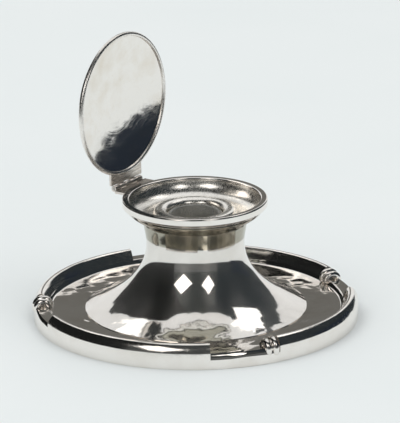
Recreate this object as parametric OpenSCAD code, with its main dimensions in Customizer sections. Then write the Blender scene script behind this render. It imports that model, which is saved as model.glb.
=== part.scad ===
// Capstan desk inkstand: a round tray with four pen rests in its raised rim, a hollow
// capstan body, a drip dish with a lift-out liner, and a hinged lid that stands open.
// Millimetres. The table is z = 0, the body's axis is the Z axis, the hinge is at +Y.

/* [Tray] */
// Radius of the tray at the table
tray_r = 110; // [100:1:125]
// Thickness of the silver sheet
sheet = 1.2; // [0.8:0.1:1.6]
// Height of the tray floor above the table
floor_z = 7.3; // [6:0.1:9]
// Width of the tray edge, from its toe on the floor to the outer wall
edge_w = 12; // [10:0.5:16]
// Height at which the outer wall starts to round over
wall_z = 2.5; // [1:0.5:5]
// Rise of the flat edge above the floor inside a pen rest
rest_rise = 3.1; // [2:0.1:4.5]
// Rise of the rim crest above the floor
crest_rise = 9.6; // [7.5:0.1:12]
// Distance of the rim crest from the outer wall
crest_inset = 5.2; // [4.5:0.1:6.5]
// Drop from the rim crest to its outer shoulder
shoulder_drop = 5.9; // [4:0.1:6.5]
// Radius of the hole under the body through which the loading is poured
fill_hole_r = 20; // [10:1:30]

/* [Pen rests] */
// Turn of the pen rests against the hinge
rest_turn = 5; // [-10:0.5:10]
// Angle from the rests' left axis to the centre of each left rest
left_rest = 44.8; // [38:0.1:50]
// Angle from the rests' right axis to the centre of each right rest
right_rest = 45.7; // [38:0.1:52]
// Angle that a pen rest takes out of the rim
gap_angle = 20; // [12:0.5:24]
// Angle that a scroll takes beside its pen rest
scroll_angle = 5.5; // [4.5:0.5:8]
// Rolls in a scroll
roll_count = 2; // [2:1:4]
// Share by which each roll is smaller than the one behind it
roll_step = 0.14; // [0:0.01:0.2]
// Radius of the arch that the biggest roll follows over the edge
arch_r = 5.2; // [4.5:0.1:6]
// Height of the middle of the arch above the floor
arch_rise = 1.6; // [1:0.1:2]
// Angle by which the rolls tuck under on the outside
roll_tuck = 25; // [0:5:40]

/* [Body] */
// Radius of the body's foot on the tray
foot_r = 75; // [66:1:80]
// Radius at the waist
waist_r = 33.2; // [30:0.1:36]
// Height of the waist above the tray floor
waist_rise = 46.2; // [40:0.1:52]
// Radius at the top, under the dish
top_r = 35.3; // [33:0.1:40]
// Height of the body above the tray floor
body_h = 60.6; // [56:0.1:72]

/* [Drip dish] */
// Outer radius of the dish's lip
lip_r = 49.2; // [46:0.1:56]
// Width of the flat lip
lip_w = 4.8; // [4:0.1:6]
// Thickness of the lip
lip_t = 2.4; // [2:0.1:3.2]
// Height of the upright band outside the lip, from the lip's top down
band_h = 6.6; // [5.5:0.1:8]
// Height from the body's top to the lip's top
dish_h = 16.5; // [14:0.1:20]
// Height of the dish floor above the body's top
dish_floor_rise = 4.6; // [3.5:0.1:6]
// Radius of the raised ring where it meets the dish floor
ring_r = 28.6; // [26:0.1:31]
// Height of the raised ring
ring_h = 4.8; // [3.5:0.1:6]

/* [Ink well] */
// Radius of the liner
liner_r = 18.3; // [15:0.1:19.5]
// Wall of the liner
liner_wall = 2.6; // [2:0.1:4]
// Floor of the liner
liner_floor = 4; // [3:0.5:6]
// Depth of the liner below the mouth of the ring
liner_h = 47; // [30:1:48]
// Running gap between the liner and its sleeve
liner_gap = 0.4; // [0.3:0.05:0.8]
// Thickness of the felt disc under the liner
felt_t = 1.5; // [1:0.1:3]

/* [Lid] */
// Radius of the lid over its bead
lid_r = 49.3; // [46:0.1:56]
// Radius of the bead's round section
bead_r = 1.5; // [1.2:0.1:2]
// Depth of the lid's side inside
lid_side = 5.2; // [3.5:0.1:6]
// Further depth of its dished top
lid_sag = 3.6; // [2:0.1:6]
// Gap between the closed lid and the lip
lid_gap = 0.3; // [0.2:0.05:0.6]
// Angle that the lid opens
open_angle = 91; // [80:1:110]

/* [Hinge] */
// Distance of the hinge pin from the edge of the lip
hinge_reach = 7; // [6:0.1:10]
// Radius of the hinge pin
pin_r = 0.9; // [0.7:0.05:1.2]
// Outer radius of a knuckle
knuckle_r = 2; // [1.7:0.1:2.4]
// Length of the row of knuckles
barrel_l = 31; // [24:1:36]
// Knuckles in the row
knuckle_count = 5; // [3:2:7]
// Width of the plates beside the hinge
plate_w = 35; // [28:1:40]
// Thickness of the plates
plate_t = 1.6; // [1.2:0.1:2]

/* [Base] */
// Thickness of the baize under the board
baize_t = 1.2; // [0.8:0.1:2]
// Gap round the board inside the tray wall
board_gap = 1.8; // [1:0.1:4]

/* [Hidden] */
$fn = 96;

// Clearances
air = 0.2;          // between pieces that are packed in loosely
pin_fit = 0.05;     // radial, between the pin and the lid's knuckles
pin_seat = 0.02;    // radial, between the pin and the dish's knuckles
knuckle_gap = 0.2;  // between neighbouring knuckles
plate_gap = 0.4;    // between a plate and the knuckles of the other side
hinge_lift = 0.2;   // of the hinge's axis above the lip
leaf_lift = 0.3;    // of the lid's plate above the hinge's axis
plate_drop = 0.6;   // of the dish's plate below the hinge's axis
pin_proud = 0.4;    // of the pin past the last knuckle, at each end
arch_proud = 1;     // of the tray's wall past the arch of the biggest roll
roll_share = 0.465; // radius of a roll as a share of the rolls' pitch

// Tray
toe_r = tray_r - edge_w;
rest_z = floor_z + rest_rise;
ledge_in_r = toe_r + 0.233 * edge_w;
ledge_out_r = tray_r - 0.183 * edge_w;
crest_z = floor_z + crest_rise;
crest_r = tray_r - crest_inset;
shoulder_z = crest_z - shoulder_drop;
pour_hole_r = min(fill_hole_r, 0.8 * foot_r);

// Pen rests, as angles about the body's axis
half_gap = gap_angle / 2;
scroll_end = half_gap + scroll_angle;
front_left = 180 + rest_turn + left_rest;
back_left = 180 + rest_turn - left_rest;
front_right = 360 + rest_turn - right_rest;
back_right = rest_turn + right_rest;
arch_c = [tray_r - arch_r - arch_proud, floor_z + arch_rise];
roll_pitch = scroll_angle / roll_count;
roll_r = roll_share * arch_c.x * roll_pitch * PI / 180;
core_r = arch_r * (1 - roll_step * (roll_count - 1));

// Heights up the axis
top_z = floor_z + body_h;
waist_z = floor_z + waist_rise;
spread = foot_r - waist_r;
neck_h = top_z - waist_z;
lip_z = top_z + dish_h;
lip_under_z = lip_z - lip_t;
lip_in_r = lip_r - lip_w;
dish_floor_z = top_z + dish_floor_rise;
mouth_r = liner_r + liner_gap + air;
sleeve_r = liner_r + liner_gap + sheet;
mouth_z = dish_floor_z + 0.35 * ring_h;
dish_cove = 2.3 * lip_w;
dish_depth = lip_under_z - dish_floor_z;
ring_w = ring_r - mouth_r;
lip_ease = lip_t / 4;
bowl_w = lip_r - top_r;
band_z = lip_z - band_h;
band_ease = 2 * sheet;
bowl_h = band_z - top_z;
liner_z = mouth_z - liner_h;
well_floor_z = liner_z - felt_t;

// Lid and hinge, with the lid closed
rim_z = lip_z + lid_gap;
hinge_y = lip_r + hinge_reach;
hinge_z = lip_z + hinge_lift;
knuckle_l = (barrel_l - (knuckle_count - 1) * knuckle_gap) / knuckle_count;
plate_y = hinge_y - knuckle_r - plate_gap;
leaf_z = hinge_z + leaf_lift;
dish_plate_z = hinge_z - plate_drop - plate_t;
lid_cove = 5 * bead_r;
pan_r = lid_r - lid_cove;
dome_r = (pan_r * pan_r + lid_sag * lid_sag) / (2 * lid_sag);

// A curve through two end points and two guide points, in n steps
function curve(a, b, c, d, n = 8) = [
    for (i = [0 : n]) let (t = i / n, u = 1 - t)
        u * u * u * a + 3 * u * u * t * b + 3 * u * t * t * c + t * t * t * d
];

// The line moved by a distance to its left
function beside(line, distance) = [
    for (i = [0 : len(line) - 1])
        let (step = line[min(i + 1, len(line) - 1)] - line[max(i - 1, 0)])
        line[i] + distance * [-step.y, step.x] / norm(step)
];

// The line backwards
function back(line) = [for (i = [len(line) - 1 : -1 : 0]) line[i]];

// The line without so many of its first and last points
function cut(line, first, last) = [for (i = [first : len(line) - 1 - last]) line[i]];

// A sheet that lies to the left of its visible line
function sheet_along(line, thickness) = concat(line, back(beside(line, thickness)));

// Tray edge from the wall over the flat of the pen rest to the toe on the floor
edge_line = concat(
    curve([tray_r, wall_z], [tray_r, (wall_z + rest_z) / 2],
        [tray_r - 0.033 * edge_w, rest_z - 0.45 * rest_rise], [ledge_out_r, rest_z], 6),
    curve([ledge_in_r, rest_z], [toe_r + 0.117 * edge_w, rest_z],
        [toe_r + 0.1 * edge_w, floor_z + 0.1 * rest_rise], [toe_r, floor_z], 6)
);

// Raised rim from the wall over its shoulder and crest to the toe. It starts where the
// edge below has drawn in a little, so that no part of it thins out to nothing.
foot_step = 2;
rim_line = concat(
    [[tray_r, edge_line[foot_step].y]],
    curve([tray_r, shoulder_z], [tray_r - 0.15 * crest_inset, shoulder_z + 0.5 * shoulder_drop],
        [crest_r + 0.42 * crest_inset, crest_z], [crest_r, crest_z]),
    curve([crest_r, crest_z], [crest_r - 0.6 * crest_inset, crest_z],
        [toe_r + 0.17 * edge_w, floor_z + 0.06 * crest_rise], [toe_r, floor_z])
);

// Body from the top down over the waist and the spreading foot to the tray floor
body_line = concat(
    curve([top_r, top_z], [waist_r + 0.55 * (top_r - waist_r), top_z - 0.33 * neck_h],
        [waist_r, waist_z + 0.27 * neck_h], [waist_r, waist_z], 6),
    curve([waist_r, waist_z], [waist_r, waist_z - 0.576 * waist_rise],
        [foot_r - 0.36 * spread, floor_z + 0.14 * waist_rise], [foot_r, floor_z + sheet / 3], 16)
);

// Bowl of the dish seen from below, with its upright band, and the visible inside
bowl_line = concat(
    curve([top_r, top_z], [top_r + 0.05 * bowl_w, top_z + 0.24 * bowl_h],
        [lip_r - 0.32 * bowl_w, top_z + 0.52 * bowl_h], [lip_r - band_ease, band_z]),
    cut(curve([lip_r - band_ease, band_z], [lip_r - 0.5 * band_ease, band_z + 0.35 * band_ease],
        [lip_r, band_z + 0.5 * band_ease], [lip_r, band_z + band_ease], 5), 1, 0),
    [[lip_r, lip_under_z]]
);
dish_line = curve([lip_in_r, lip_under_z],
    [lip_in_r - 0.07 * dish_cove, dish_floor_z + 0.37 * dish_depth],
    [lip_in_r - 0.55 * dish_cove, dish_floor_z + 0.01 * dish_depth],
    [lip_in_r - dish_cove, dish_floor_z]);

// Inside of the lid from its bead over the side to the dished middle
lid_line = concat(
    curve([lid_r - 2 * bead_r, rim_z + bead_r], [lid_r - 2 * bead_r, rim_z + 0.8 * lid_side],
        [pan_r + 0.3 * lid_cove, rim_z + 0.96 * lid_side], [pan_r, rim_z + lid_side], 6),
    [for (i = [7 : -1 : 0]) let (r = pan_r * i / 8)
        [r, rim_z + lid_side + lid_sag - dome_r + sqrt(dome_r * dome_r - r * r)]]
);

module turned(points) rotate_extrude() polygon(points);

// A turned sheet with its ends cut level at two heights
module turned_between(points, z_low, z_high) rotate_extrude() intersection() {
    polygon(points);
    translate([0, z_low]) square([tray_r, z_high - z_low]);
}

module tube(r_out, r_in, z_low, z_high) {
    translate([0, 0, z_low]) difference() {
        cylinder(r = r_out, h = z_high - z_low);
        translate([0, 0, -1]) cylinder(r = r_in, h = z_high - z_low + 2);
    }
}

// What is on the lid is drawn closed and stands open at rest
module lid_open() {
    translate([0, hinge_y, hinge_z]) rotate([-open_angle, 0, 0])
        translate([0, -hinge_y, -hinge_z]) children();
}

module tray_shell() color("gainsboro") {
    line = concat([[tray_r, 0]], edge_line, [[pour_hole_r, floor_z]]);
    turned(sheet_along(line, sheet));
}

module base_board() color("saddlebrown") translate([0, 0, baize_t])
    cylinder(r = tray_r - sheet - board_gap, h = floor_z - sheet - baize_t);

module baize_pad() color("darkolivegreen")
    cylinder(r = tray_r - sheet - board_gap / 2, h = baize_t);

module rim_arc(from, to) color("silver")
    rotate([0, 0, from]) rotate_extrude(angle = to - from)
        polygon(concat(cut(rim_line, 0, 1), back(cut(edge_line, foot_step, 1))));

// Everything inside the tray's outer surface, to cut seats with
module under_edge() turned(concat([[0, -1], [tray_r, -1]], edge_line, [[0, floor_z]]));

// Rolls side by side that arch over the edge and grow from the rest to the rim. They
// start at an angle and go one way.
module scroll(start, way) color("silver") difference() {
    union() {
        for (i = [0 : roll_count - 1]) let (share = 1 - roll_step * (roll_count - 1 - i))
            rotate([0, 0, start + way * (i + 0.5) * roll_pitch])
                translate([arch_c.x, 0, arch_c.y]) rotate([90, -roll_tuck, 0])
                    rotate_extrude(angle = 180 + roll_tuck)
                        translate([arch_r * share, 0]) circle(r = roll_r, $fn = 32);
        rotate([0, 0, start + way * scroll_angle / 2])
            translate([arch_c.x, 0, arch_c.y]) rotate([90, 0, 0])
                cylinder(r = core_r, h = (roll_count - 1) * 2 * roll_r, center = true);
    }
    under_edge();
}

module capstan_body() color("gainsboro")
    turned_between(sheet_along(body_line, -sheet), floor_z, top_z);

module loading() color("dimgray") difference() {
    turned_between(
        concat([[0, top_z]], beside(body_line, -sheet - air), [[0, floor_z]]),
        floor_z, top_z - 5 * sheet
    );
    translate([0, 0, well_floor_z - sheet])
        cylinder(r = sleeve_r + air, h = top_z);
}

module dish_shell() color("gainsboro") turned_between(
    sheet_along(concat([[top_r - 4 * sheet, top_z]], bowl_line), sheet), top_z, lip_under_z);

module drip_dish() color("silver") turned_between(
    sheet_along(concat(dish_line, [[sleeve_r, dish_floor_z]]), sheet), top_z, lip_under_z);

module dish_lip() color("silver") turned(concat(
    [[lip_in_r, lip_under_z], [lip_r, lip_under_z]],
    [for (i = [0 : 6]) let (a = 15 * i)
        [lip_r - lip_t / 2 * (1 - cos(a)), lip_z - lip_t / 2 * (1 - sin(a))]],
    [[lip_in_r + lip_ease, lip_z - lip_ease / 2], [lip_in_r, lip_z - 1.5 * lip_ease]]
));

module well_ring() color("silver") {
    crest = [(ring_r + mouth_r) / 2, dish_floor_z + ring_h];
    turned(concat(
        [[mouth_r, dish_floor_z]],
        curve([ring_r, dish_floor_z], [ring_r - 0.04 * ring_w, crest.y - 0.2 * ring_h],
            [crest.x + 0.25 * ring_w, crest.y], crest),
        curve(crest, [crest.x - 0.25 * ring_w, crest.y],
            [mouth_r + 0.04 * ring_w, mouth_z + ring_h / 3], [mouth_r, mouth_z])
    ));
}

module well_sleeve() color("darkkhaki") {
    tube(sleeve_r, sleeve_r - sheet, well_floor_z, dish_floor_z);
    translate([0, 0, well_floor_z - sheet]) cylinder(r = sleeve_r, h = sheet);
}

module felt_disc() color("darkgreen") translate([0, 0, well_floor_z])
    cylinder(r = liner_r, h = felt_t);

module ink_liner() color("lightblue") difference() {
    translate([0, 0, liner_z]) cylinder(r = liner_r, h = liner_h);
    translate([0, 0, liner_z + liner_floor]) cylinder(r = liner_r - liner_wall, h = liner_h);
}

// A plate from a round edge to the hinge, with tongues at every other knuckle
module plate(edge_r, z, first) difference() {
    union() {
        translate([-plate_w / 2, 0, z]) cube([plate_w, plate_y, plate_t]);
        for (i = [first : 2 : knuckle_count - 1])
            translate([knuckle_x(i), edge_r, z]) cube([knuckle_l, hinge_y - edge_r, plate_t]);
    }
    translate([0, 0, z - 1]) cylinder(r = edge_r, h = plate_t + 2, $fn = 192);
    translate([-plate_w / 2 - 1, hinge_y, hinge_z]) rotate([0, 90, 0])
        cylinder(r = knuckle_r, h = plate_w + 2);
}

function knuckle_x(i) = -barrel_l / 2 + i * (knuckle_l + knuckle_gap);

module knuckles(first, bore_r)
    for (i = [first : 2 : knuckle_count - 1])
        translate([knuckle_x(i), hinge_y, hinge_z]) rotate([0, 90, 0]) difference() {
            cylinder(r = knuckle_r, h = knuckle_l);
            translate([0, 0, -1]) cylinder(r = bore_r, h = knuckle_l + 2);
        }

module hinge_plate() color("silver") plate(lip_r, dish_plate_z, 0);

module dish_knuckles() color("gainsboro") knuckles(0, pin_r + pin_seat);

module hinge_pin() color("darkgray")
    translate([-barrel_l / 2 - pin_proud, hinge_y, hinge_z]) rotate([0, 90, 0])
        cylinder(r = pin_r, h = barrel_l + 2 * pin_proud);

module lid_leaf() color("silver") lid_open() plate(lid_r, leaf_z, 1);

module lid_knuckles() color("gainsboro") lid_open() knuckles(1, pin_r + pin_fit);

module bead() rotate_extrude() translate([lid_r - bead_r, rim_z + bead_r])
    circle(r = bead_r, $fn = 48);

module lid_bead() color("silver") lid_open() bead();

module lid_pan() color("gainsboro") lid_open() difference() {
    turned(sheet_along(lid_line, -sheet));
    bead();
}

tray_shell();
base_board();
baize_pad();
rim_arc(back_left + half_gap, front_left - half_gap);  // rim_left
rim_arc(front_left + scroll_end, front_right - half_gap);  // rim_front
rim_arc(front_right - 360 + scroll_end, back_right - scroll_end);  // rim_right
rim_arc(back_right + half_gap, back_left - scroll_end);  // rim_back
scroll(front_left + half_gap, 1);  // scroll_front_left
scroll(back_left - half_gap, -1);  // scroll_back_left
scroll(front_right + half_gap, 1);  // scroll_front_right
scroll(back_right - half_gap, -1);  // scroll_back_right
capstan_body();
loading();
dish_shell();
drip_dish();
dish_lip();
well_ring();
well_sleeve();
felt_disc();
ink_liner();
hinge_plate();
dish_knuckles();
hinge_pin();
lid_leaf();
lid_knuckles();
lid_pan();
lid_bead();
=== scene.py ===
import math

import bmesh
import bpy
from mathutils import Matrix, Vector


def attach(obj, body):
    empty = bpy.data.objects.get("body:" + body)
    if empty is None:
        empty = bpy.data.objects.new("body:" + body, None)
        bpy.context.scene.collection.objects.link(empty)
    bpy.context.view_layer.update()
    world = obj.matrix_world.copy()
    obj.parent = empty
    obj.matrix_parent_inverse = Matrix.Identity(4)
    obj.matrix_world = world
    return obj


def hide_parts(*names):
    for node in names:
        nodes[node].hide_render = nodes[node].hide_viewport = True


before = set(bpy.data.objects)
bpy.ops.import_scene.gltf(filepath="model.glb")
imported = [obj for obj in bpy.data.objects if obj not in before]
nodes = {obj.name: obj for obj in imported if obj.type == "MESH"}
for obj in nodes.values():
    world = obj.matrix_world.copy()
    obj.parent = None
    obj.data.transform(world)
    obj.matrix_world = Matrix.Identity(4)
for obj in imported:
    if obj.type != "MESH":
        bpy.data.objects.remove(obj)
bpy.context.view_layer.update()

MM = 0.001
SHARP = math.radians(38)  # edges sharper than this stay crisp
EASED = math.radians(25)  # a slab's edges sharper than this are rounded
STEEP = math.radians(60)  # the edges round a rim's two ends
WELD = 1e-4

# ---------------------------------------------------------------- sizes, as in the part's source
tray_r, sheet, floor_z, edge_w, wall_z = 110, 1.2, 7.3, 12, 2.5
rest_rise, crest_rise, crest_inset, shoulder_drop, pour_hole_r = 3.1, 9.6, 5.2, 5.9, 20
rest_turn, left_rest, right_rest, gap_angle, scroll_angle = 5, 44.8, 45.7, 20, 5.5
roll_count, roll_step, arch_r, arch_rise, arch_inset = 2, 0.14, 5.2, 1.6, 1
roll_share, core_proud = 0.465, 0.9
foot_r, waist_r, waist_rise, top_r, body_h = 75, 33.2, 46.2, 35.3, 60.6
lip_r, lip_w, lip_t, band_h, dish_h = 49.2, 4.8, 2.4, 6.6, 16.5
dish_floor_rise, ring_r, ring_h = 4.6, 28.6, 4.8
liner_r, liner_wall, liner_floor, liner_h, liner_gap, felt_t = 18.3, 2.6, 4, 47, 0.4, 1.5
lid_r, bead_r, lid_side, lid_sag, lid_gap, open_angle = 49.3, 1.5, 5.2, 3.6, 0.3, 91
hinge_reach, pin_r, knuckle_r, barrel_l, knuckle_count, plate_w, plate_t = 7, 0.9, 2, 31, 5, 35, 1.6
knuckle_gap, plate_gap = 0.2, 0.4
pin_gap, pin_proud, tongue_gap, leaf_lift, plate_drop = 0.05, 0.4, 0.9, 0.3, 0.6

toe_r = tray_r - edge_w
rest_z = floor_z + rest_rise
ledge_in_r, ledge_out_r = toe_r + 0.233 * edge_w, tray_r - 0.183 * edge_w
crest_z, crest_r = floor_z + crest_rise, tray_r - crest_inset
shoulder_z = crest_z - shoulder_drop
half_gap = gap_angle / 2
scroll_end = half_gap + scroll_angle
front_left = 180 + rest_turn + left_rest
back_left = 180 + rest_turn - left_rest
front_right = rest_turn - right_rest
back_right = rest_turn + right_rest
arch_c = (tray_r - arch_r - arch_inset, floor_z + arch_rise)
roll_pitch = scroll_angle / roll_count
roll_r = roll_share * arch_c[0] * math.radians(roll_pitch)
top_z, waist_z = floor_z + body_h, floor_z + waist_rise
spread, neck_h = foot_r - waist_r, body_h - waist_rise
lip_z = top_z + dish_h
lip_under_z, lip_in_r, lip_ease = lip_z - lip_t, lip_r - lip_w, lip_t / 4
dish_floor_z = top_z + dish_floor_rise
mouth_r, sleeve_r = liner_r + liner_gap + 0.2, liner_r + liner_gap + sheet
mouth_z = dish_floor_z + 0.35 * ring_h
dish_cove, dish_depth = 2.3 * lip_w, lip_under_z - dish_floor_z
ring_w, bowl_w = ring_r - mouth_r, lip_r - top_r
band_z, band_ease = lip_z - band_h, 2 * sheet
bowl_h = band_z - top_z
liner_z = mouth_z - liner_h
well_floor_z = liner_z - felt_t
rim_z = lip_z + lid_gap
hinge_y, hinge_z = lip_r + hinge_reach, lip_z + 0.2
knuckle_l = (barrel_l - (knuckle_count - 1) * knuckle_gap) / knuckle_count
plate_y = hinge_y - knuckle_r - plate_gap
leaf_z, dish_plate_z = hinge_z + leaf_lift, hinge_z - plate_drop - plate_t
lid_cove = 5 * bead_r
pan_r = lid_r - lid_cove
dome_r = (pan_r * pan_r + lid_sag * lid_sag) / (2 * lid_sag)


# ---------------------------------------------------------------- mesh tools
def curve(a, b, c, d, n=20):
    """Points on a curve through a and d, with the guide points b and c."""
    out = []
    for i in range(n + 1):
        t = i / n
        u = 1 - t
        out.append(
            tuple(
                u**3 * a[k] + 3 * u * u * t * b[k] + 3 * u * t * t * c[k] + t**3 * d[k]
                for k in range(2)
            )
        )
    return out


def beside(line, distance):
    """The line moved by a distance to its left."""
    out = []
    for i, p in enumerate(line):
        q, r = line[min(i + 1, len(line) - 1)], line[max(i - 1, 0)]
        dx, dy = q[0] - r[0], q[1] - r[1]
        n = math.hypot(dx, dy) or 1
        out.append((max(p[0] - distance * dy / n, 0), p[1] + distance * dx / n))
    return out


def joined(*lines):
    """The lines end to end, without doubled points."""
    out = []
    for line in lines:
        for p in line:
            if not out or math.dist(out[-1], p) > 0.01:
                out.append(p)
    return out


def arc_line(r, z, radius, angles):
    """Points round a circle with its centre at (r, z)."""
    return [
        (r + radius * math.cos(math.radians(a)), z + radius * math.sin(math.radians(a))) for a in angles
    ]


def sheet_along(line, thickness):
    return line + beside(line, thickness)[::-1]


def polar(r, angle, z):
    return Vector((r * math.cos(math.radians(angle)), r * math.sin(math.radians(angle)), z))


def lid_open(v):
    """Where a point of the closed lid is on the open one."""
    a = math.radians(-open_angle)
    y, z = v[1] - hinge_y, v[2] - hinge_z
    return Vector(
        (v[0], hinge_y + y * math.cos(a) - z * math.sin(a), hinge_z + y * math.sin(a) + z * math.cos(a))
    )


def finished(bm, name, body, material, stands_for, move=None):
    """The mesh as a smooth piece of the object, in its place and on its body."""
    bmesh.ops.remove_doubles(bm, verts=bm.verts, dist=WELD)
    bmesh.ops.recalc_face_normals(bm, faces=bm.faces)
    for v in bm.verts:
        v.co = (move(v.co) if move else v.co) * MM
    mesh = bpy.data.meshes.new(name)
    bm.to_mesh(mesh)
    bm.free()
    for p in mesh.polygons:
        p.use_smooth = True
    mesh.set_sharp_from_angle(angle=SHARP)
    mesh.materials.append(material)
    obj = bpy.data.objects.new(name, mesh)
    bpy.context.scene.collection.objects.link(obj)
    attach(obj, body)
    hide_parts(stands_for)


def turned(bm, outline, steps=288, arc=None, place=None):
    """A closed outline of (radius, height) turned about the Z axis, all round or over an arc."""
    place = place or (lambda v: v)
    first, last = arc or (0, 360)
    n = steps if arc is None else max(6, int(steps * (last - first) / 360))
    rings = []
    for k in range(n + (1 if arc else 0)):
        a = first + (last - first) * k / n
        rings.append([bm.verts.new(place(polar(r, a, z))) for r, z in outline])
    m = len(outline)
    for k in range(n):
        here, there = rings[k], rings[(k + 1) % len(rings)]
        for i in range(m):
            j = (i + 1) % m
            ri, rj = outline[i][0], outline[j][0]
            if ri < 1e-6 and rj < 1e-6:
                continue
            loop = [here[i], here[j], there[j], there[i]]
            if ri < 1e-6:
                loop = [here[i], here[j], there[j]]
            elif rj < 1e-6:
                loop = [here[i], here[j], there[i]]
            bm.faces.new(loop)
    if arc:
        bm.faces.new(rings[0])
        bm.faces.new(rings[-1][::-1])


def swept(bm, path, radii, normals, sides):
    """A round bar along a path, with closed ends."""
    rings = []
    for i, p in enumerate(path):
        ahead = (path[min(i + 1, len(path) - 1)] - path[max(i - 1, 0)]).normalized()
        side = ahead.cross(normals[i]).normalized()
        up = side.cross(ahead)
        ring = []
        for k in range(sides):
            a = 2 * math.pi * k / sides
            ring.append(bm.verts.new(p + radii[i] * (math.cos(a) * side + math.sin(a) * up)))
        rings.append(ring)
    for here, there in zip(rings[:-1], rings[1:]):
        for k in range(sides):
            j = (k + 1) % sides
            bm.faces.new([here[k], here[j], there[j], there[k]])
    bm.faces.new(rings[0][::-1])
    bm.faces.new(rings[-1])


def slab(bm, outline, z_low, z_high, ease):
    """A flat plate with eased edges."""
    low = [bm.verts.new((x, y, z_low)) for x, y in outline]
    high = [bm.verts.new((x, y, z_high)) for x, y in outline]
    made = [bm.faces.new(low[::-1]), bm.faces.new(high)]
    for i in range(len(outline)):
        j = (i + 1) % len(outline)
        made.append(bm.faces.new([low[i], low[j], high[j], high[i]]))
    edges = list({e for f in made for e in f.edges})
    edges = [e for e in edges if e.calc_face_angle(0) > EASED]
    bmesh.ops.bevel(bm, geom=edges, offset=ease, segments=3, affect="EDGES", profile=0.5)


# ---------------------------------------------------------------- materials
# the length and height of the waves that buffing leaves, and the depth of the scratches
BUFF, BUFF_H, SCRATCH_H = 5.5, 0.018, 0.0012


def node(tree, kind, inputs=None, **settings):
    n = tree.nodes.new(kind)
    for k, v in settings.items():
        setattr(n, k, v)
    for k, v in (inputs or {}).items():
        if isinstance(v, bpy.types.NodeSocket):
            tree.links.new(v, n.inputs[k])
        else:
            n.inputs[k].default_value = v
    return n


def blank(name):
    m = bpy.data.materials.new(name)
    m.use_nodes = True
    m.node_tree.nodes.clear()
    return m, m.node_tree


def output(tree, shader):
    out = node(tree, "ShaderNodeOutputMaterial")
    tree.links.new(shader, out.inputs["Surface"])


def ramp(tree, fac, stops):
    r = node(tree, "ShaderNodeValToRGB", {"Fac": fac})
    e = r.color_ramp.elements
    e[0].position, e[0].color = stops[0][0], stops[0][1]
    e[1].position, e[1].color = stops[-1][0], stops[-1][1]
    for p, c in stops[1:-1]:
        x = e.new(p)
        x.color = c
    return r.outputs["Color"]


def grey(v):
    return (v, v, v, 1)


def noise(tree, vector, scale, detail, rough=0.5):
    grain = {"Vector": vector, "Scale": scale, "Detail": detail, "Roughness": rough}
    return node(tree, "ShaderNodeTexNoise", grain).outputs["Fac"]


def bump(tree, height, distance, normal=None):
    b = node(tree, "ShaderNodeBump", {"Height": height, "Distance": distance, "Strength": 1.0})
    if normal is not None:
        tree.links.new(normal, b.inputs["Normal"])
    return b.outputs["Normal"]


def maths(tree, operation, a, b):
    return node(tree, "ShaderNodeMath", {0: a, 1: b}, operation=operation).outputs[0]


def vector_maths(tree, operation, inputs):
    return node(tree, "ShaderNodeVectorMath", inputs, operation=operation)


def mixed(tree, fac, a, b):
    m = node(tree, "ShaderNodeMix", data_type="RGBA")
    for k, v in ((0, fac), (6, a), (7, b)):
        if isinstance(v, bpy.types.NodeSocket):
            tree.links.new(v, m.inputs[k])
        else:
            m.inputs[k].default_value = v
    return m.outputs[2]


def map_range(tree, value, low, high, to_low=0.0, to_high=1.0):
    r = node(tree, "ShaderNodeMapRange", {"Value": value})
    ends = {"From Min": low, "From Max": high, "To Min": to_low, "To Max": to_high}
    for k, v in ends.items():
        r.inputs[k].default_value = v
    return r.outputs[0]


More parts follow.
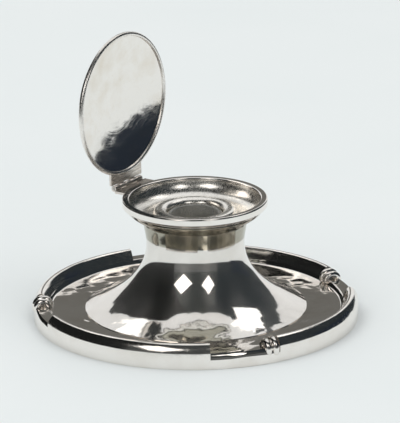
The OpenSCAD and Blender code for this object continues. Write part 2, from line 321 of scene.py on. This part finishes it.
def silver(
    name, base, stain, wave, wave_h, stains, rough, spun=None, spun_h=0.0, streak=0.0, edge=None, above=None
):
    """Old polished silver: uneven from the hammer and the buff, spun lines, fine scratches, stains.

    wave and wave_h are the length and height of the unevenness, spun the axis of the lathe's lines and
    spun_h their height, and streak the share of the shine that these lines drag out. edge holds two
    radii, each with a share of wave_h, and above two heights and the colour over them, a second tone that
    paints a reflection.
    """
    m, t = blank(name)
    at = node(t, "ShaderNodeTexCoord").outputs["Object"]
    hammered = noise(t, at, 1000 / wave, 1.5)
    buffed = noise(t, at, 1000 / BUFF, 2)
    if spun:
        centre, flat = spun
        off = vector_maths(t, "SUBTRACT", {0: at, 1: Vector(centre) * MM}).outputs[0]
        off = vector_maths(t, "MULTIPLY", {0: off, 1: flat}).outputs[0]
        r = vector_maths(t, "LENGTH", {0: off}).outputs["Value"]
    if edge:
        # the waves grow or die away between two radii
        r0, share0, r1, share1 = edge
        reach = map_range(t, r, r0 * MM, r1 * MM, share0, share1)
        hammered = maths(t, "MULTIPLY", maths(t, "SUBTRACT", hammered, 0.5), reach)
    normal = bump(t, hammered, wave_h * MM)
    normal = bump(t, buffed, BUFF_H * MM, normal)
    if spun:
        lines = node(
            t,
            "ShaderNodeTexNoise",
            {"W": r, "Scale": 650.0, "Detail": 5.0, "Roughness": 0.6},
            noise_dimensions="1D",
        ).outputs["Fac"]
        normal = bump(t, lines, spun_h * MM, normal)
    rubbed = {"Vector": at, "Rotation": (0.3, 0.2, 0.9), "Scale": (60, 2600, 900)}
    scratch = noise(t, node(t, "ShaderNodeMapping", rubbed).outputs[0], 1, 2)
    normal = bump(t, scratch, SCRATCH_H * MM, normal)
    blotch = noise(t, at, 38, 6, 0.6)
    speck = noise(t, at, 420, 4, 0.65)
    where = maths(t, "MULTIPLY", ramp(t, blotch, [(0.46, grey(0)), (0.72, grey(1))]), stains)
    dots = maths(t, "MULTIPLY", ramp(t, speck, [(0.60, grey(0)), (0.74, grey(1))]), stains * 0.6)
    if above:
        # a second tone over a height: the olive is a painted reflection of the dark tray and dish underside
        # in the neck and bowl
        z0, z1, tone = above
        height = node(t, "ShaderNodeSeparateXYZ", {"Vector": at}).outputs[2]
        height = maths(t, "ADD", height, maths(t, "MULTIPLY", blotch, 0.6 * MM))
        base = mixed(t, map_range(t, height, z0 * MM, z1 * MM), base, tone)
    colour = mixed(t, where, base, stain)
    colour = mixed(t, dots, colour, stain)
    dull = ramp(t, scratch, [(0.35, grey(rough * 0.7)), (0.75, grey(rough * 1.8))])
    dull = maths(t, "ADD", dull, maths(t, "MULTIPLY", blotch, rough * 0.5))
    polished = {"Base Color": colour, "Roughness": dull, "Normal": normal}
    shader = node(t, "ShaderNodeBsdfPrincipled", polished)
    shader.inputs["Metallic"].default_value = 1.0
    if not streak:
        output(t, shader.outputs[0])
        return m
    # the lathe's fine lines drag a part of each highlight up and down the turned wall
    along = node(t, "ShaderNodeTangent", direction_type="RADIAL", axis="Z")
    lined = {"Base Color": colour, "Normal": normal, "Tangent": along.outputs[0]}
    drawn = node(t, "ShaderNodeBsdfPrincipled", lined)
    drawn.inputs["Metallic"].default_value = 1.0
    drawn.inputs["Roughness"].default_value = 0.36
    drawn.inputs["Anisotropic"].default_value = 0.95
    drawn.inputs["Anisotropic Rotation"].default_value = 0.25
    share = ramp(t, noise(t, at, 55, 3), [(0.3, grey(streak * 0.6)), (0.7, grey(streak * 1.4))])
    both = node(t, "ShaderNodeMixShader", {0: share, 1: shader.outputs[0], 2: drawn.outputs[0]})
    output(t, both.outputs[0])
    return m


def plain(name, low, high, scale, rough, height, detail=5, stretch=(1, 1, 1), **sockets):
    """A matt or semi-matt stuff whose colour and relief vary with one noise."""
    m, t = blank(name)
    at = node(t, "ShaderNodeTexCoord").outputs["Object"]
    at = node(t, "ShaderNodeMapping", {"Vector": at, "Scale": stretch}).outputs[0]
    n = noise(t, at, scale, detail, 0.6)
    colour = ramp(t, n, [(0.3, low), (0.7, high)])
    worn, fresh = grey(rough * 0.85), grey(min(1, rough * 1.15))
    wear = ramp(t, noise(t, at, scale * 0.13, 3), [(0.3, worn), (0.7, fresh)])
    matt = {"Base Color": colour, "Roughness": wear, "Normal": bump(t, n, height * MM)}
    shader = node(t, "ShaderNodeBsdfPrincipled", matt)
    for k, v in sockets.items():
        shader.inputs[k.replace("_", " ")].default_value = v
    output(t, shader.outputs[0])
    return m


up_axis = ((0, 0, 0), (1, 1, 0))
lid_axis = (tuple(lid_open(Vector((0, 0, rim_z)))), (1, 0, 1))
# olive is painted reflection: the dark tray and dish underside that the neck and bowl mirror, laid in as
# colour
bright, brown, painted_reflection_olive = (0.91, 0.875, 0.835, 1), (0.50, 0.42, 0.33, 1), (0.46, 0.44, 0.37, 1)
painted_bright_cream, honey, gilding = (0.96, 0.93, 0.88, 1), (0.62, 0.54, 0.42, 1), (0.62, 0.50, 0.34, 1)
tray_silver = silver(
    "tray_silver", bright, brown, 24, 1.0, 0.22, 0.05, up_axis, 0.0030, edge=(75, 3.6, 93, 1.3)
)
rim_silver = silver("rim_silver", bright, brown, 16, 0.50, 0.22, 0.11)
bead_silver = silver("bead_silver", bright, brown, 18, 0.12, 0.18, 0.21)
# above 57.4 mm the neck takes the olive tone, a painted reflection
body_silver = silver(
    "body_silver",
    bright,
    brown,
    18,
    1.0,
    0.15,
    0.05,
    up_axis,
    0.0015,
    streak=0.14,
    edge=(54, 0.12, 72, 1.0),
    above=(57.4, 58.4, painted_reflection_olive),
)
# the bowl under the dish is olive, a painted reflection, up to the bright band
bowl_painted_reflection_silver = silver(
    "bowl_painted_reflection_silver", painted_reflection_olive, brown, 24, 0.20, 0.15, 0.08, up_axis, 0.0015, above=(77.4, 78.0, bright)
)
# the dish and well ring take a paler silver than the rest, painted brightness for their lit inside
dish_silver = silver("dish_silver", painted_bright_cream, honey, 14, 0.14, 0.22, 0.19, up_axis, 0.002)
lid_silver = silver("lid_silver", bright, gilding, 20, 0.22, 0.4, 0.05, lid_axis, 0.006)
hinge_silver = silver(
    "hinge_silver", (0.80, 0.74, 0.68, 1), (0.30, 0.23, 0.17, 1), 9, 0.10, 0.6, 0.24
)
lip_silver = silver("lip_silver", bright, brown, 16, 0.05, 0.3, 0.07, up_axis, 0.002)
pin_metal = silver("pin_metal", (0.60, 0.59, 0.57, 1), (0.30, 0.25, 0.2, 1), 5, 0.02, 0.5, 0.22)
brass = silver(
    "sleeve_brass", (0.62, 0.52, 0.36, 1), (0.22, 0.17, 0.11, 1), 9, 0.06, 0.8, 0.25, up_axis, 0.004
)
wood = plain(
    "board_wood", (0.10, 0.05, 0.028, 1), (0.20, 0.11, 0.06, 1), 160, 0.55, 0.15, 6, (1, 0.06, 1)
)
baize = plain(
    "baize", (0.02, 0.07, 0.035, 1), (0.05, 0.13, 0.07, 1), 1500, 0.95, 0.25, 4, Sheen_Weight=0.6
)
felt = plain(
    "felt", (0.02, 0.05, 0.035, 1), (0.05, 0.10, 0.07, 1), 1300, 0.95, 0.25, 4, Sheen_Weight=0.5
)
pitch = plain("pitch", (0.012, 0.010, 0.008, 1), (0.035, 0.028, 0.022, 1), 120, 0.45, 0.5)


def liner_glass():
    """Thick moulded glass with dried ink inside."""
    m, t = blank("liner_glass")
    at = node(t, "ShaderNodeTexCoord").outputs["Object"]
    z = node(t, "ShaderNodeSeparateXYZ", {"Vector": at}).outputs["Z"]
    low = ramp(t, maths(t, "MULTIPLY", z, 10.0), [(0.28, grey(1)), (0.70, grey(0.15))])
    film = ramp(t, noise(t, at, 130, 5, 0.65), [(0.38, grey(0)), (0.68, grey(1))])
    stain = maths(t, "MULTIPLY", maths(t, "ADD", film, 0.25), low)
    clear = node(t, "ShaderNodeBsdfPrincipled", {"Normal": bump(t, noise(t, at, 90, 2), 0.12 * MM)})
    clear.inputs["Base Color"].default_value = (0.86, 0.90, 0.87, 1)
    clear.inputs["Roughness"].default_value = 0.06
    clear.inputs["IOR"].default_value = 1.5
    clear.inputs["Transmission Weight"].default_value = 0.85
    ink = node(
        t,
        "ShaderNodeBsdfPrincipled",
        {"Base Color": ramp(t, film, [(0.2, (0.55, 0.45, 0.35, 1)), (0.8, (0.22, 0.17, 0.13, 1))])},
    )
    ink.inputs["Roughness"].default_value = 0.5
    both = node(t, "ShaderNodeMixShader", {0: stain, 1: clear.outputs[0], 2: ink.outputs[0]})
    output(t, both.outputs[0])
    return m


glass = liner_glass()

# ---------------------------------------------------------------- tray
edge_line = joined(
    curve(
        (tray_r, wall_z),
        (tray_r, (wall_z + rest_z) / 2),
        (tray_r - 0.033 * edge_w, rest_z - 0.45 * rest_rise),
        (ledge_out_r, rest_z),
        14,
    ),
    curve(
        (ledge_in_r, rest_z),
        (toe_r + 0.117 * edge_w, rest_z),
        (toe_r + 0.1 * edge_w, floor_z + 0.1 * rest_rise),
        (toe_r, floor_z),
        14,
    ),
)
rim_line = joined(
    [(tray_r, wall_z)],
    curve(
        (tray_r, shoulder_z),
        (tray_r - 0.15 * crest_inset, shoulder_z + 0.5 * shoulder_drop),
        (crest_r + 0.42 * crest_inset, crest_z),
        (crest_r, crest_z),
        18,
    ),
    curve(
        (crest_r, crest_z),
        (crest_r - 0.6 * crest_inset, crest_z),
        (toe_r + 0.17 * edge_w, floor_z + 0.06 * crest_rise),
        (toe_r, floor_z),
        24,
    ),
)

tray_foot = [(tray_r - 0.25, 0), (tray_r, 0.3)]
tray_floor = [(r, floor_z) for r in (90, 80, 60, 40, pour_hole_r)]
bm = bmesh.new()
turned(bm, sheet_along(joined(tray_foot, edge_line, tray_floor), sheet), 360)
finished(bm, "tray_surface", "stand", tray_silver, "tray_shell")


def rim(name, first, last, node_name):
    """A stretch of the raised rim, with its ends eased over."""
    bm = bmesh.new()
    under = [(toe_r + 0.6, floor_z - 0.5), (tray_r - 1.2, floor_z - 0.5), (tray_r - 0.9, wall_z)]
    turned(bm, rim_line + under, 720, (first, last))
    ends = [e for e in bm.edges if e.is_manifold and e.calc_face_angle(0) > STEEP]
    ends = [e for e in ends if all(v.co.z > floor_z + 1 for v in e.verts)]
    bmesh.ops.bevel(bm, geom=ends, offset=0.45, segments=3, affect="EDGES", profile=0.5)
    finished(bm, name, "stand", rim_silver, node_name)


rim("rim_left_surface", back_left + half_gap, front_left - half_gap, "rim_left")
rim("rim_front_surface", front_left + scroll_end, front_right + 360 - half_gap, "rim_front")
rim("rim_right_surface", front_right + scroll_end, back_right - scroll_end, "rim_right")
rim("rim_back_surface", back_right + half_gap, back_left - scroll_end, "rim_back")


def scroll(name, start, way, node_name):
    """Fat rolls side by side that arch over the edge, smaller towards the pen rest."""
    bm = bmesh.new()
    first, last, steps = -44, 197, 72
    for i in range(roll_count):
        a = start + way * (i + 0.5) * roll_pitch
        reach = arch_r * (1 - roll_step * (roll_count - 1 - i))
        path, radii, normals = [], [], []
        for k in range(steps + 1):
            turn = first + (last - first) * k / steps
            c, s = math.cos(math.radians(turn)), math.sin(math.radians(turn))
            path.append(polar(arch_c[0] + reach * c, a, arch_c[1] + reach * s))
            end = min(k, steps - k) * reach * math.radians(last - first) / steps
            radii.append(math.sqrt(max(roll_r**2 - max(roll_r - end, 0) ** 2, 0.04)))
            normals.append(polar(1, a, 0) * c + Vector((0, 0, s)))
        swept(bm, path, radii, normals, 28)
    core = start + way * scroll_angle / 2
    half = scroll_angle / 2 - 0.45 * roll_pitch
    reach = arch_r * (1 - roll_step * (roll_count - 1)) + core_proud
    turned(bm, arc_line(*arch_c, reach, range(-30, 191, 8)), 720, (core - half, core + half))
    finished(bm, name, "stand", rim_silver, node_name)


scroll("scroll_front_left_surface", front_left + half_gap, 1, "scroll_front_left")
scroll("scroll_back_left_surface", back_left - half_gap, -1, "scroll_back_left")
scroll("scroll_front_right_surface", front_right + half_gap, 1, "scroll_front_right")
scroll("scroll_back_right_surface", back_right - half_gap, -1, "scroll_back_right")

# ---------------------------------------------------------------- body, dish and well
body_line = joined(
    curve(
        (top_r, top_z),
        (waist_r + 0.55 * (top_r - waist_r), top_z - 0.33 * neck_h),
        (waist_r, waist_z + 0.27 * neck_h),
        (waist_r, waist_z),
        14,
    ),
    curve(
        (waist_r, waist_z),
        (waist_r, waist_z - 0.576 * waist_rise),
        (foot_r - 0.36 * spread, floor_z + 0.14 * waist_rise),
        (foot_r, floor_z + 0.4),
        48,
    ),
)
bm = bmesh.new()
turned(bm, sheet_along(body_line, -sheet))
finished(bm, "body_surface", "stand", body_silver, "capstan_body")

bowl_line = joined(
    curve(
        (top_r, top_z),
        (top_r + 0.05 * bowl_w, top_z + 0.24 * bowl_h),
        (lip_r - 0.32 * bowl_w, top_z + 0.52 * bowl_h),
        (lip_r - band_ease, band_z),
    ),
    curve(
        (lip_r - band_ease, band_z),
        (lip_r - 0.5 * band_ease, band_z + 0.35 * band_ease),
        (lip_r, band_z + 0.5 * band_ease),
        (lip_r, band_z + band_ease),
        12,
    ),
    [(lip_r, lip_under_z)],
)
bm = bmesh.new()
turned(bm, sheet_along(joined([(top_r - 4 * sheet, top_z)], bowl_line), sheet))
finished(bm, "dish_outside", "stand", bowl_painted_reflection_silver, "dish_shell")

dish_line = curve(
    (lip_in_r, lip_under_z),
    (lip_in_r - 0.07 * dish_cove, dish_floor_z + 0.37 * dish_depth),
    (lip_in_r - 0.55 * dish_cove, dish_floor_z + 0.01 * dish_depth),
    (lip_in_r - dish_cove, dish_floor_z),
)
bm = bmesh.new()
turned(bm, sheet_along(joined(dish_line, [(sleeve_r, dish_floor_z)]), sheet))
finished(bm, "dish_inside", "stand", dish_silver, "drip_dish")

bm = bmesh.new()
lip_round = arc_line(lip_r - lip_t / 2, lip_z - lip_t / 2, lip_t / 2, range(0, 91, 9))
lip_in = curve(
    (lip_in_r + 2 * lip_ease, lip_z - 0.1),
    (lip_in_r + lip_ease, lip_z - 0.15),
    (lip_in_r, lip_z - 0.4),
    (lip_in_r, lip_z - 1.4),
    8,
)
turned(bm, joined([(lip_in_r, lip_under_z), (lip_r, lip_under_z)], lip_round, lip_in))
finished(bm, "dish_lip_surface", "stand", lip_silver, "dish_lip")

crest = ((ring_r + mouth_r) / 2, dish_floor_z + ring_h)
bm = bmesh.new()
turned(
    bm,
    joined(
        [(mouth_r, dish_floor_z)],
        curve(
            (ring_r, dish_floor_z),
            (ring_r - 0.04 * ring_w, crest[1] - 0.2 * ring_h),
            (crest[0] + 0.25 * ring_w, crest[1]),
            crest,
        ),
        curve(
            crest,
            (crest[0] - 0.25 * ring_w, crest[1]),
            (mouth_r + 0.04 * ring_w, mouth_z + ring_h / 3),
            (mouth_r, mouth_z),
        ),
    ),
)
finished(bm, "well_ring_surface", "stand", dish_silver, "well_ring")

bm = bmesh.new()
turned(
    bm,
    [
        (0, well_floor_z - sheet),
        (sleeve_r, well_floor_z - sheet),
        (sleeve_r, dish_floor_z),
        (sleeve_r - sheet, dish_floor_z),
        (sleeve_r - sheet, well_floor_z),
        (0, well_floor_z),
    ],
    128,
)
finished(bm, "well_sleeve_surface", "stand", brass, "well_sleeve")

inner, liner_top_z = liner_r - liner_wall, mouth_z - 0.8
bm = bmesh.new()
turned(
    bm,
    joined(
        [(0, liner_z)],
        curve(
            (liner_r - 1.5, liner_z),
            (liner_r - 0.6, liner_z),
            (liner_r, liner_z + 0.6),
            (liner_r, liner_z + 1.5),
            6,
        ),
        [(liner_r, liner_top_z)],
        curve(
            (liner_r, liner_top_z),
            (liner_r - 0.2, mouth_z),
            (inner + 0.2, mouth_z),
            (inner, liner_top_z),
            10,
        ),
        [(inner, liner_z + liner_floor + 3)],
        curve(
            (inner, liner_z + liner_floor + 3),
            (inner, liner_z + liner_floor + 1),
            (inner - 2, liner_z + liner_floor),
            (inner - 4, liner_z + liner_floor),
            8,
        ),
        [(0, liner_z + liner_floor)],
    ),
    128,
)
finished(bm, "ink_liner_surface", "liner", glass, "ink_liner")

# ---------------------------------------------------------------- lid
dome_z = rim_z + lid_side + lid_sag - dome_r
lid_line = joined(
    curve(
        (lid_r - 2 * bead_r, rim_z + bead_r),
        (lid_r - 2 * bead_r, rim_z + 0.8 * lid_side),
        (pan_r + 0.3 * lid_cove, rim_z + 0.96 * lid_side),
        (pan_r, rim_z + lid_side),
        18,
    ),
    [(r, dome_z + math.sqrt(dome_r**2 - r**2)) for r in [pan_r * i / 30 for i in range(29, -1, -1)]],
)
bm = bmesh.new()
turned(bm, sheet_along(lid_line, -sheet)[:-1] + [(0, rim_z + lid_side + lid_sag + sheet)])
finished(bm, "lid_surface", "lid", lid_silver, "lid_pan", lid_open)

bm = bmesh.new()
turned(bm, arc_line(lid_r - bead_r, rim_z + bead_r, bead_r, range(0, 360, 15)))
finished(bm, "lid_bead_surface", "lid", bead_silver, "lid_bead", lid_open)


# ---------------------------------------------------------------- hinge
def knuckle_x(i):
    return -barrel_l / 2 + i * (knuckle_l + knuckle_gap)


def plate(name, edge_r, z, first, body, node_name, move=None):
    """A plate from a round edge to the hinge, with a tongue at every other knuckle."""
    bm = bmesh.new()
    h = plate_w / 2
    a = math.degrees(math.asin(h / edge_r))
    turns = [math.radians(a * k / 12) for k in range(-12, 13)]
    arc = [(edge_r * math.sin(turn), edge_r * math.cos(turn)) for turn in turns]
    slab(bm, arc + [(h, plate_y), (-h, plate_y)], z, z + plate_t, 0.35)
    root, tip = plate_y - 1.5, hinge_y - tongue_gap
    for i in range(first, knuckle_count, 2):
        x = knuckle_x(i)
        tongue = [(x, root), (x + knuckle_l, root), (x + knuckle_l, tip), (x, tip)]
        slab(bm, tongue, z + 0.05, z + plate_t - 0.05, 0.2)
    finished(bm, name, body, hinge_silver, node_name, move)


def knuckles(name, first, body, node_name, move=None):
    """Every other knuckle of the barrel, with its ends eased."""
    bm = bmesh.new()
    bore, e = pin_r + pin_gap, 0.14
    for i in range(first, knuckle_count, 2):
        x = knuckle_x(i)
        outline = [
            (bore, 0.0),
            (knuckle_r - e, 0.0),
            (knuckle_r - e * 0.3, e * 0.3),
            (knuckle_r, e),
            (knuckle_r, knuckle_l - e),
            (knuckle_r - e * 0.3, knuckle_l - e * 0.3),
            (knuckle_r - e, knuckle_l),
            (bore, knuckle_l),
        ]
        turned(bm, outline, 48, None, lambda v: Vector((x + v.z, hinge_y + v.x, hinge_z + v.y)))
    finished(bm, name, body, hinge_silver, node_name, move)


plate("hinge_plate_surface", lip_r - 0.6, dish_plate_z, 0, "stand", "hinge_plate")
plate("lid_leaf_surface", lid_r - 0.6, leaf_z, 1, "lid", "lid_leaf", lid_open)
knuckles("dish_knuckles_surface", 0, "stand", "dish_knuckles")
knuckles("lid_knuckles_surface", 1, "lid", "lid_knuckles", lid_open)

bm = bmesh.new()
pin = barrel_l / 2 + pin_proud
turned(
    bm,
    [(0, -pin), (pin_r - 0.3, -pin), (pin_r, -pin + 0.3), (pin_r, pin - 0.3), (pin_r - 0.3, pin), (0, pin)],
    48,
    None,
    lambda v: Vector((v.z, hinge_y + v.x, hinge_z + v.y)),
)
finished(bm, "hinge_pin_surface", "stand", pin_metal, "hinge_pin")

for name, material in (("base_board", wood), ("baize_pad", baize), ("loading", pitch), ("felt_disc", felt)):
    mesh = nodes[name].data
    mesh.materials.clear()
    mesh.materials.append(material)

# ---------------------------------------------------------------- studio
towards = -145  # the photograph's camera stands at this angle about the body's axis
card_height = 50  # the cards stand round a point this high on the axis
floor_r, rings, spokes = 6, 8, 64


def direction(azimuth, elevation):
    """A unit vector: azimuth 0 points to the camera and 90 to its right."""
    a, e = math.radians(towards + azimuth), math.radians(elevation)
    return Vector((math.cos(a) * math.cos(e), math.sin(a) * math.cos(e), math.sin(e)))


def stage_mesh(name, verts, faces, material):
    mesh = bpy.data.meshes.new(name)
    mesh.from_pydata(verts, [], faces)
    mesh.materials.append(material)
    obj = bpy.data.objects.new(name, mesh)
    bpy.context.scene.collection.objects.link(obj)
    return obj


m, t = blank("floor_paper")
at = node(t, "ShaderNodeTexCoord").outputs["Object"]
paper = ramp(t, noise(t, at, 6, 2), [(0.3, (0.800, 0.835, 0.835, 1)), (0.7, (0.815, 0.845, 0.845, 1))])
fibres = bump(t, noise(t, at, 900, 2), 0.01 * MM)
shader = node(t, "ShaderNodeBsdfPrincipled", {"Base Color": paper, "Normal": fibres})
shader.inputs["Roughness"].default_value = 0.9
shader.inputs["Specular IOR Level"].default_value = 0.1
output(t, shader.outputs[0])
verts = [Vector((0, 0, 0))] + [
    polar(floor_r * k / rings, 360 * s / spokes, 0) for k in range(1, rings + 1) for s in range(spokes)
]
faces = [(0, 1 + s, 1 + (s + 1) % spokes) for s in range(spokes)]
for k in range(rings - 1):
    for s in range(spokes):
        a, b = 1 + k * spokes + s, 1 + k * spokes + (s + 1) % spokes
        faces.append((a, b, b + spokes, a + spokes))
stage_mesh("floor", verts, faces, m)


def card(name, corners, distance, colour, strength=1.0):
    """A studio card, flag or lit panel that only the polished metal sees."""
    m, t = blank(name)
    e = node(t, "ShaderNodeEmission")
    e.inputs["Color"].default_value = colour
    e.inputs["Strength"].default_value = strength
    output(t, e.outputs[0])
    n = 12
    (a0, e0), (a1, e1), (a2, e2), (a3, e3) = corners
    verts = []
    for j in range(n + 1):
        for i in range(n + 1):
            u, v = i / n, j / n
            az = (a0 * (1 - u) + a1 * u) * (1 - v) + (a3 * (1 - u) + a2 * u) * v
            el = (e0 * (1 - u) + e1 * u) * (1 - v) + (e3 * (1 - u) + e2 * u) * v
            verts.append(Vector((0, 0, card_height * MM)) + distance * direction(az, el))
    row = n + 1
    corner = [j * row + i for j in range(n) for i in range(n)]
    faces = [(k, k + 1, k + row + 1, k + row) for k in corner]
    obj = stage_mesh(name, verts, faces, m)
    for attribute in ("camera", "diffuse", "transmission", "volume_scatter", "shadow"):
        setattr(obj, "visible_" + attribute, False)


black, dim, navy = (0.011, 0.012, 0.012, 1), (0.045, 0.050, 0.050, 1), (0.026, 0.032, 0.036, 1)
lit = (1.0, 0.985, 0.96, 1)
card("flag_left_low", [(-152, -8), (-48, -8), (-48, 30), (-148, 28)], 0.9, black)
card("flag_left", [(-148, 28), (-48, 30), (-48, 60), (-127, 57)], 0.9, black)
card("flag_left_high", [(-127, 57), (-48, 60), (-48, 83), (-120, 71)], 0.9, black)
card("flag_front_low", [(-48, -4), (48, -4), (48, 13), (-48, 13)], 0.9, (0.11, 0.115, 0.115, 1))
card("flag_front", [(-48, 13), (48, 13), (48, 84), (-48, 83)], 0.9, dim)
card("flag_right_low", [(48, -4), (152, -4), (145, 32), (48, 32)], 0.9, navy)
card("flag_right", [(48, 32), (145, 32), (150, 50), (48, 50)], 0.9, navy)
card("flag_right_high", [(48, 50), (150, 50), (124, 64), (48, 84)], 0.9, navy)
card("flag_back", [(171, 5), (189, 5), (189, 36), (171, 36)], 2.4, (0.150, 0.148, 0.138, 1))
card("flag_navy", [(82, -4.6), (127, -4.6), (127, 12), (82, 12)], 0.6, (0.018, 0.024, 0.034, 1))
card("window_left", [(-35, 54), (-48, 36), (-26, 17), (-7, 36)], 0.85, lit, 2.0)
card("window_right", [(31, 55), (13, 40), (27, 20), (41, 38)], 0.85, lit, 2.0)
card("softbox_right", [(99, 60), (130, 43), (146, 52), (138, 65)], 0.85, lit, 1.6)
card("softbox_left", [(-143, 41), (-126, 57), (-141, 60), (-150, 46)], 0.85, lit, 1.6)

world = bpy.data.worlds.new("studio")
bpy.context.scene.world = world
world.use_nodes = True
background = world.node_tree.nodes["Background"]
background.inputs["Color"].default_value = (0.85, 0.86, 0.86, 1)
background.inputs["Strength"].default_value = 1.0


def lamp(name, azimuth, elevation, distance, size, watts):
    data = bpy.data.lights.new(name, "AREA")
    data.shape, data.size, data.energy = "DISK", size, watts
    obj = bpy.data.objects.new(name, data)
    bpy.context.scene.collection.objects.link(obj)
    obj.location = direction(azimuth, elevation) * distance
    obj.rotation_euler = (-direction(azimuth, elevation)).to_track_quat("-Z", "Y").to_euler()
    obj.visible_glossy = False


lamp("key", -60, 55, 4.5, 3.0, 30)
lamp("fill", 70, 60, 4.5, 3.0, 17)

# ---------------------------------------------------------------- camera
cam_elevation, cam_roll, cam_lens, cam_sensor, cam_distance = 17.93, -0.62, 441.6, 36, 3.5
cam_aim = (1.93, -2.76, 74.31)
back = direction(0, cam_elevation)
right = (-back).cross(Vector((0, 0, 1))).normalized()
above = right.cross(-back)
roll = math.radians(cam_roll)
cam_x = math.cos(roll) * right + math.sin(roll) * above
cam_y = -math.sin(roll) * right + math.cos(roll) * above
camera = bpy.data.cameras.new("camera")
camera.lens, camera.sensor_width = cam_lens, cam_sensor
camera.clip_start, camera.clip_end = 0.1, 30
cam = bpy.data.objects.new("camera", camera)
bpy.context.scene.collection.objects.link(cam)
place = Vector(cam_aim) * MM + cam_distance * back
cam.matrix_world = Matrix(
    (
        (cam_x[0], cam_y[0], back[0], place[0]),
        (cam_x[1], cam_y[1], back[1], place[1]),
        (cam_x[2], cam_y[2], back[2], place[2]),
        (0, 0, 0, 1),
    )
)
bpy.context.scene.camera = cam
bpy.context.scene.view_settings.view_transform = "Standard"
